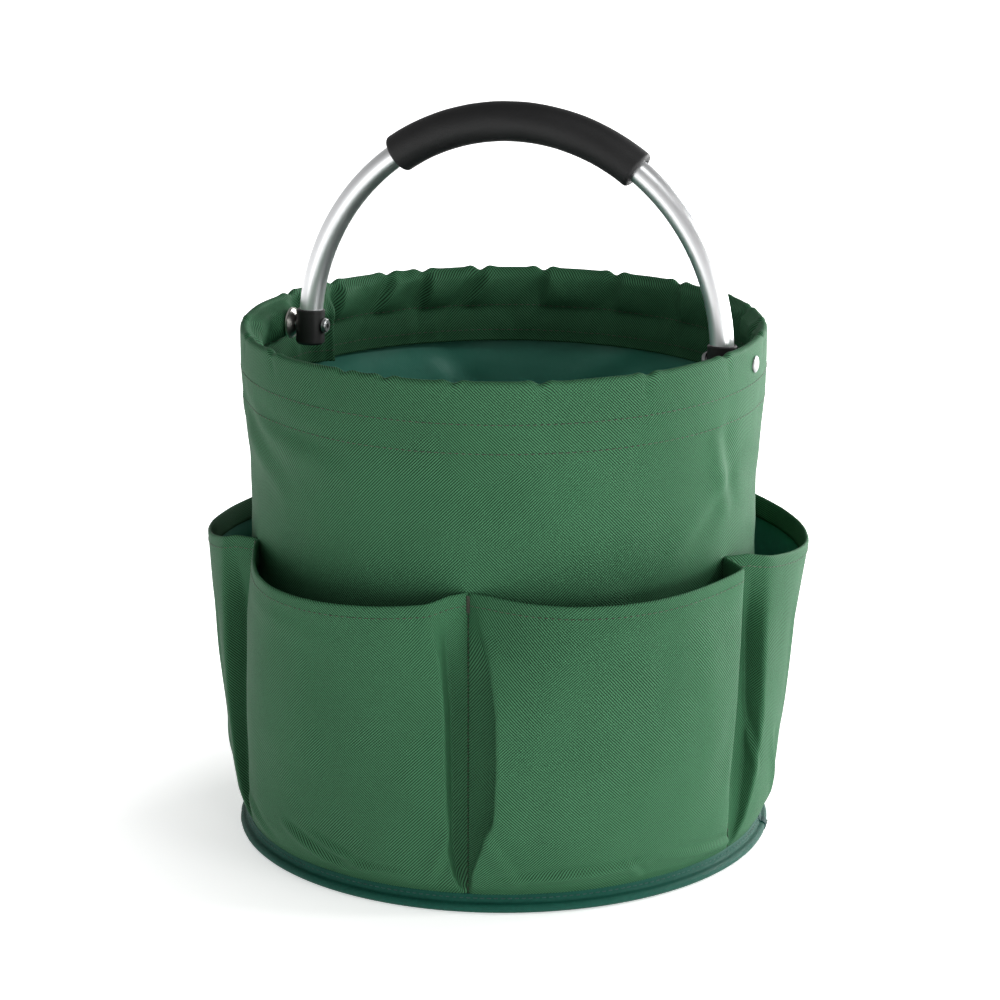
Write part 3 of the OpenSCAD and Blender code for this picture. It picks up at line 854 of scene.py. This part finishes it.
# Pleats on each pocket: start and end as (share across, height in mm), width and depth in mm.
PLEATS = {
    "pocket_front_left": [((0.10, 40), (0.30, 13), 4, 1.3), ((0.34, 38), (0.60, 13), 3.6, 2.4),
                          ((0.44, 40), (0.68, 17), 3.2, 1.7), ((0.93, 74), (0.80, 14), 4, 2.0),
                          ((0.06, 128), (0.12, 50), 5, 0.9), ((0.14, 186), (0.66, 172), 6, 0.6),
                          ((0.52, 21), (0.80, 24), 2.6, 1.5)],
    "pocket_front_right": [((0.16, 22), (0.58, 26), 3.2, 2.6), ((0.10, 66), (0.24, 14), 4.5, 1.8),
                           ((0.50, 30), (0.56, 14), 3, 1.6), ((0.60, 27), (0.94, 16), 3.4, 2.0),
                           ((0.90, 130), (0.84, 50), 6, 0.9), ((0.28, 178), (0.66, 187), 6, 0.6)],
    "pocket_right": [((0.20, 76), (0.34, 14), 4.5, 2.2), ((0.05, 104), (0.13, 56), 3, 1.8),
                     ((0.80, 60), (0.60, 14), 4.5, 1.8), ((0.28, 170), (0.34, 70), 5, 1.4)],
    "pocket_back": [((0.10, 56), (0.30, 14), 4.5, 2.0), ((0.88, 50), (0.66, 14), 4.5, 2.0),
                    ((0.5, 40), (0.42, 14), 4, 1.6), ((0.2, 170), (0.4, 150), 7, 0.8),
                    ((0.5, 22), (0.85, 26), 3, 1.8)],
    "pocket_left": [((0.80, 70), (0.66, 14), 4.5, 2.2), ((0.15, 50), (0.36, 14), 4.5, 1.8),
                    ((0.82, 160), (0.76, 60), 5, 1.2), ((0.3, 24), (0.6, 27), 3.2, 1.7)],
}


def build_pocket(k, name):
    heights = np.concatenate([np.linspace(POCKET_FOOT_Z / MM, 40, 21)[:-1],
                              np.linspace(40, MOUTH_Z / MM, P_ROWS - 20)]) * MM
    plans, widths = zip(*[pocket_plan(k, z, SIZES[name]) for z in heights])
    p = np.zeros((P_COLS, len(heights), 3))
    for j, (plan, z) in enumerate(zip(plans, heights)):
        p[:, j, :2] = plan
        p[:, j, 2] = z
    across = np.linspace(0, 1, P_COLS)[:, None]
    # The mouth sags between the seams.
    rise = np.clip((heights - 60 * MM) / (MOUTH_Z - 60 * MM), 0, 1)[None, :]
    middle = np.clip((across - 0.06) / 0.88, 0, 1)
    p[..., 2] -= MOUTH_SAG[name] * MM * np.sin(np.pi * middle) ** 0.8 * rise ** 1.5
    u = (across - 0.5) * np.array(widths)[None, :]
    v = np.tile(heights, (P_COLS, 1))
    n = normals(p)
    edge = np.clip(np.minimum(across, 1 - across) / 0.06, 0, 1) * np.clip((v - 8 * MM) / (12 * MM), 0, 1)
    bulge = 0.9 * MM * noise_at(p, 16, 20.0 + k) + 0.4 * MM * noise_at(p * [1, 1, 0.5], 55, 2.0 + k)
    p = p + n * (bulge * edge)[..., None]
    ob = grid_object(name + "_cloth", p, u, v, M["twill"])
    pin = np.zeros(p.shape[:2])
    pin[:2] = pin[-2:] = 1
    pin[:, :2] = 1
    pin[:, -1] = 0.6
    # The folded corners keep their crease.
    step = np.diff(p[..., :2], axis=0)
    heading = np.unwrap(np.arctan2(step[..., 1], step[..., 0]), axis=0)
    pin[1:-1] = np.maximum(pin[1:-1], np.clip(np.abs(np.diff(heading, axis=0)) / 0.25, 0, 0.85))
    grow = np.full(p.shape[:2], 0.3)
    moved = settle(ob, pin, grow, 10, bending=1.2).reshape(p.shape)
    step = moved - p
    size = np.linalg.norm(step, axis=-1, keepdims=True)
    p = p + step * np.minimum(1, 2.5 * MM / np.maximum(size, 1e-9))
    bpy.data.objects.remove(ob)
    # The pleats are laid in after the cloth has settled, which would draw them flat.
    w = widths[len(widths) // 2]
    laid = sum(crease(u, v, ((s0 - 0.5) * w, z0 * MM), ((s1 - 0.5) * w, z1 * MM), width * MM, depth * MM)
               for (s0, z0), (s1, z1), width, depth in PLEATS[name])
    p = p + normals(p) * (laid * edge)[..., None]
    # The hem turns over at the mouth and lies down inside.
    n = normals(p)
    top, above = p[:, -1], n[:, -1]
    hem = 1.3 * MM
    turned = [top + [0, 0, hem] - above * hem * 0.35, top + [0, 0, hem * 1.35] - above * hem,
              top + [0, 0, hem] - above * hem * 1.75]
    inner = [p[:, -1 - j] - n[:, -1 - j] * 2.7 * MM for j in range(0, 4)]
    rows = [p[:, j] for j in range(p.shape[1])] + turned + inner
    whole = np.stack(rows, 1)
    u_all = np.concatenate([u, np.repeat(u[:, -1:], 7, 1)], 1)
    v_all = np.concatenate([v, v[:, -1:] + np.array([1.4, 2.4, 3.4, 5, 10, 16, 21])[None, :] * MM], 1)
    ob = grid_object(name + "_cloth", whole, u_all, v_all, M["twill"])
    thicken(ob, 1.1 * MM, M["inside"])
    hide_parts(name)
    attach(ob, "bag")
    return p


pocket_grids = {name: build_pocket(k, name) for k, name in enumerate(POCKETS)}

hem_lines, seam_lines, tack_lines = [], [], []
for k, name in enumerate(POCKETS):
    p = pocket_grids[name]
    n = normals(p)
    rows = p.shape[1]
    j = rows - 1 - 6.0 * MM / (p[0, -1, 2] - p[0, -2, 2])
    i = np.linspace(0.8, P_COLS - 1.8, 160)
    hem_lines.append((sample(p, i, np.full(160, j)), sample(n, i, np.full(160, j))))
    j = np.linspace(1, rows - 3, 120)
    a = math.radians(SEAMS[k])
    outward = np.array([math.cos(a), math.sin(a), 0])
    before = pocket_grids[POCKETS[k - 1]]
    line = (sample(p, np.zeros(120), j) + sample(before, np.full(120, P_COLS - 1), j)) / 2
    seam_lines.append((line + outward * 0.2 * MM, np.tile(outward, (120, 1))))
    side = np.array([-outward[1], outward[0], 0])
    for c in range(17):
        z = p[0, -1, 2] - (0.3 + 0.62 * c) * MM
        centre = outward * (wall_r(z) + CLOTH + 1.1 * MM) + np.array([0, 0, z])
        ends = np.stack([centre - side * 1.25 * MM, centre, centre + side * 1.25 * MM])
        tack_lines.append((ends, np.tile(outward, (3, 1))))
dashes("pocket_hem_stitches", hem_lines, 2.9 * MM, 1.0 * MM, 0.26 * MM, M["thread"])
dashes("pocket_seam_stitches", seam_lines, 2.9 * MM, 1.0 * MM, 0.24 * MM, M["thread"])
bar_tacks = dashes("bar_tack_stitches", tack_lines, 2.3 * MM, 0.1 * MM, 0.36 * MM, M["thread"], 0.5 * MM)
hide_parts("pocket_bartacks")

# ---------------------------------------------------------------- base: binding, piping, panels

PIPING_R = 2.9 * MM
PIPING_RING = RIM_R + 3.2 * MM
PIPING_Z = 3.1 * MM


def build_binding(name, start, arc, cols, grow, material, node):
    """The tape from the top of its flange, down over the cord and under the base."""
    flange = [(0.75, 11.35), (1.3, 11.1), (1.55, 9.7), (1.75, 8.3), (1.95, 7.2), (2.35, 6.2)]
    shape = [(RIM_R + x * MM + grow, z * MM) for x, z in flange]
    shape += [(PIPING_RING + (PIPING_R + grow) * math.cos(t), PIPING_Z + (PIPING_R + grow) * math.sin(t))
              for t in np.radians(np.linspace(80, -90, 12))]
    shape += [(RIM_R + 0.5 * MM, 0.25 * MM), (RIM_R - 5 * MM, 0.2 * MM)] if grow == 0 else []
    shape = np.array(shape)
    closed = arc >= 360
    angle = np.radians(start + np.linspace(0, arc, cols, endpoint=not closed))
    r, z = np.tile(shape[:, 0], (cols, 1)), np.tile(shape[:, 1], (cols, 1))
    a = angle[:, None]
    p = polar(r, a, z)
    soft = np.clip((z - 0.6 * MM) / (2 * MM), 0, 1)
    ripple = 0.16 * MM * noise_at(p, 210, 4.0) + 0.22 * MM * noise_at(p, 70, 8.0)
    r = r + soft * ripple
    p = polar(r, a, z)
    edges = np.append(angle, angle[0] + math.radians(arc)) if closed else angle
    u = np.tile(edges[:, None] * PIPING_RING, (1, len(shape)))
    v = np.tile(-run_along(shape), (len(edges), 1))
    p, u, v = p[:, ::-1], u[:, ::-1], v[:, ::-1]
    ob = grid_object(name, p, u, v, material, closed)
    thicken(ob, 0.5 * MM)
    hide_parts(node)
    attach(ob, "bag")


build_binding("base_piping_tape", 0, 360, 540, 0.0, M["binding"], "base_binding")
build_binding("piping_lap_tape", 11, 3, 9, 0.55 * MM, M["lap"], "binding_joint")


def ring_line(radius, z, lean, count=900, start=0.0, end=360.0):
    a = np.radians(np.linspace(start, end, count))
    return polar(radius, a, z), polar(1, a, lean)


dashes("binding_stitches", [ring_line(RIM_R + 1.68 * MM, 8.8 * MM, 0.15)],
       3.0 * MM, 1.2 * MM, 0.3 * MM, M["teal_thread"])
dashes("lap_stitches", [ring_line(RIM_R + x * MM, z * MM, 0.3, 12, 11.2, 13.8)
                        for x, z in ((2.05, 9.4), (2.3, 7.9), (6.85, 4.4))],
       2.2 * MM, 0.5 * MM, 0.3 * MM, M["teal_thread"])


def build_disc(name, radius, z, thick, material, node, ripple, flat_below=False):
    """A round of cloth with a softened edge and slight unevenness."""
    rings = np.concatenate([np.linspace(0.02, 0.92, 26), [0.95, 0.975, 0.992, 1.0]]) * radius
    a = np.linspace(0, TAU, 144, endpoint=False)[:, None]
    r = np.tile(rings, (144, 1))
    top = polar(r, a, z + thick)
    top[..., 2] += ripple * (0.5 + 0.5 * noise_at(top, 14, 6.0)) * np.clip((radius - r) / 0.02, 0, 1)
    low = top.copy()
    low[..., 2] = z if flat_below else top[..., 2] - thick
    whole = np.concatenate([low, top[:, ::-1]], 1)
    angle = np.append(np.linspace(0, TAU, 144, endpoint=False), TAU)[:, None]
    rr = np.concatenate([rings, rings[::-1]])[None, :]
    u, v = rr * np.cos(angle), rr * np.sin(angle)
    ob = grid_object(name, whole, u, v, material, closed=True)
    make_outward(ob, fill=True)
    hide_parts(node)
    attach(ob, "bag")


low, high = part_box("base_lining")
build_disc("floor_lining_cloth", high.x, low.z, CLOTH, M["inside"], "base_lining", 1.2 * MM)
low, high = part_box("base_panel")
build_disc("base_panel_cloth", high.x, low.z, CLOTH, M["base_cloth"], "base_panel", 0.0, True)

# ---------------------------------------------------------------- foam grip

FOOT_RIGHT = (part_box("ferrule_right")[0].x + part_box("ferrule_right")[1].x) / 2
FOOT_LEFT = (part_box("ferrule_left")[0].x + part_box("ferrule_left")[1].x) / 2
BAIL_R, BAIL_X = (FOOT_RIGHT - FOOT_LEFT) / 2, (FOOT_RIGHT + FOOT_LEFT) / 2
LEAN = math.radians(4)


def in_bail(x, z):
    """A point of the bail's own plane, x along the pivots and z up from them."""
    return np.array([BAIL_X + x, z * math.sin(LEAN), PIVOT_Z + z * math.cos(LEAN)])


def build_grip():
    half, radius, bore = math.radians(35.5), 12.5 * MM, 7.55 * MM
    length = half * 2 * BAIL_R
    end = 2.4 * MM
    stations = [(0.0, bore), (0.0, bore + 1.6 * MM), (0.0, radius - end)]
    for t in np.radians([15, 30, 45, 60, 75, 90]):
        stations.append((end * (1 - math.cos(t)), radius - end + end * math.sin(t)))
    middle = [(x, radius) for x in np.linspace(end * 2, length - end * 2, 58)]
    stations = stations + middle + [(length - x, r) for x, r in reversed(stations)]
    shown = np.array([r > bore + 1 * MM for _, r in stations] + [False] * 24)[None, :]
    stations += [(x, bore) for x in np.linspace(length, 0, 26)[1:-1]]
    sides = 48
    ring = np.linspace(0, TAU, sides, endpoint=False)
    p = np.zeros((sides, len(stations), 3))
    across = np.array([0, math.cos(LEAN), -math.sin(LEAN)])
    for j, (x, r) in enumerate(stations):
        t = math.pi / 2 + half - x / BAIL_R
        centre = in_bail(BAIL_R * math.cos(t), BAIL_R * math.sin(t))
        out = in_bail(math.cos(t), math.sin(t)) - in_bail(0, 0)
        for i, a in enumerate(ring):
            p[i, j] = centre + r * (math.cos(a) * out + math.sin(a) * across)
    away = normals(p, closed=True)
    if np.mean(np.sum(away[:, 30] * (p[:, 30] - p[:, 30].mean(0)), -1)) < 0:
        away = -away
    uneven = 0.16 * MM * noise_at(p, 60, 1.0) + 0.07 * MM * noise_at(p, 230, 2.0)
    p = p + away * (shown * uneven)[..., None]
    count = len(stations)
    faces = []
    for i in range(sides):
        k = (i + 1) % sides
        faces += [(i * count + j, k * count + j, k * count + (j + 1) % count, i * count + (j + 1) % count)
                  for j in range(count)]
    uv = np.zeros((len(faces) * 4, 2))
    ob = mesh_object("foam_sleeve", p.reshape(-1, 3), faces, M["foam"], uv)
    make_outward(ob)
    sub = ob.modifiers.new("smooth", "SUBSURF")
    sub.levels = sub.render_levels = 1
    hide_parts("foam_grip")
    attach(ob, "handle")


build_grip()

# ---------------------------------------------------------------- carried-over CAD nodes

CARRIED = {"handle_tube": "tube", "ferrule_right": "black", "ferrule_left": "black", "rivet_right": "rivet",
           "rivet_left": "rivet", "rivet_washer_right": "rivet", "rivet_washer_left": "rivet",
           "cup_washer_right": "washer", "cup_washer_left": "washer", "spacer_right": "nylon",
           "spacer_left": "nylon", "rim_hoop": "steel", "hoop_clip": "steel", "base_board": "board",
           "piping_cord": "cord"}
for node, key in CARRIED.items():
    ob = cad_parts[node]
    ob.data.materials.clear()
    ob.data.materials.append(M[key])

low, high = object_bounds()
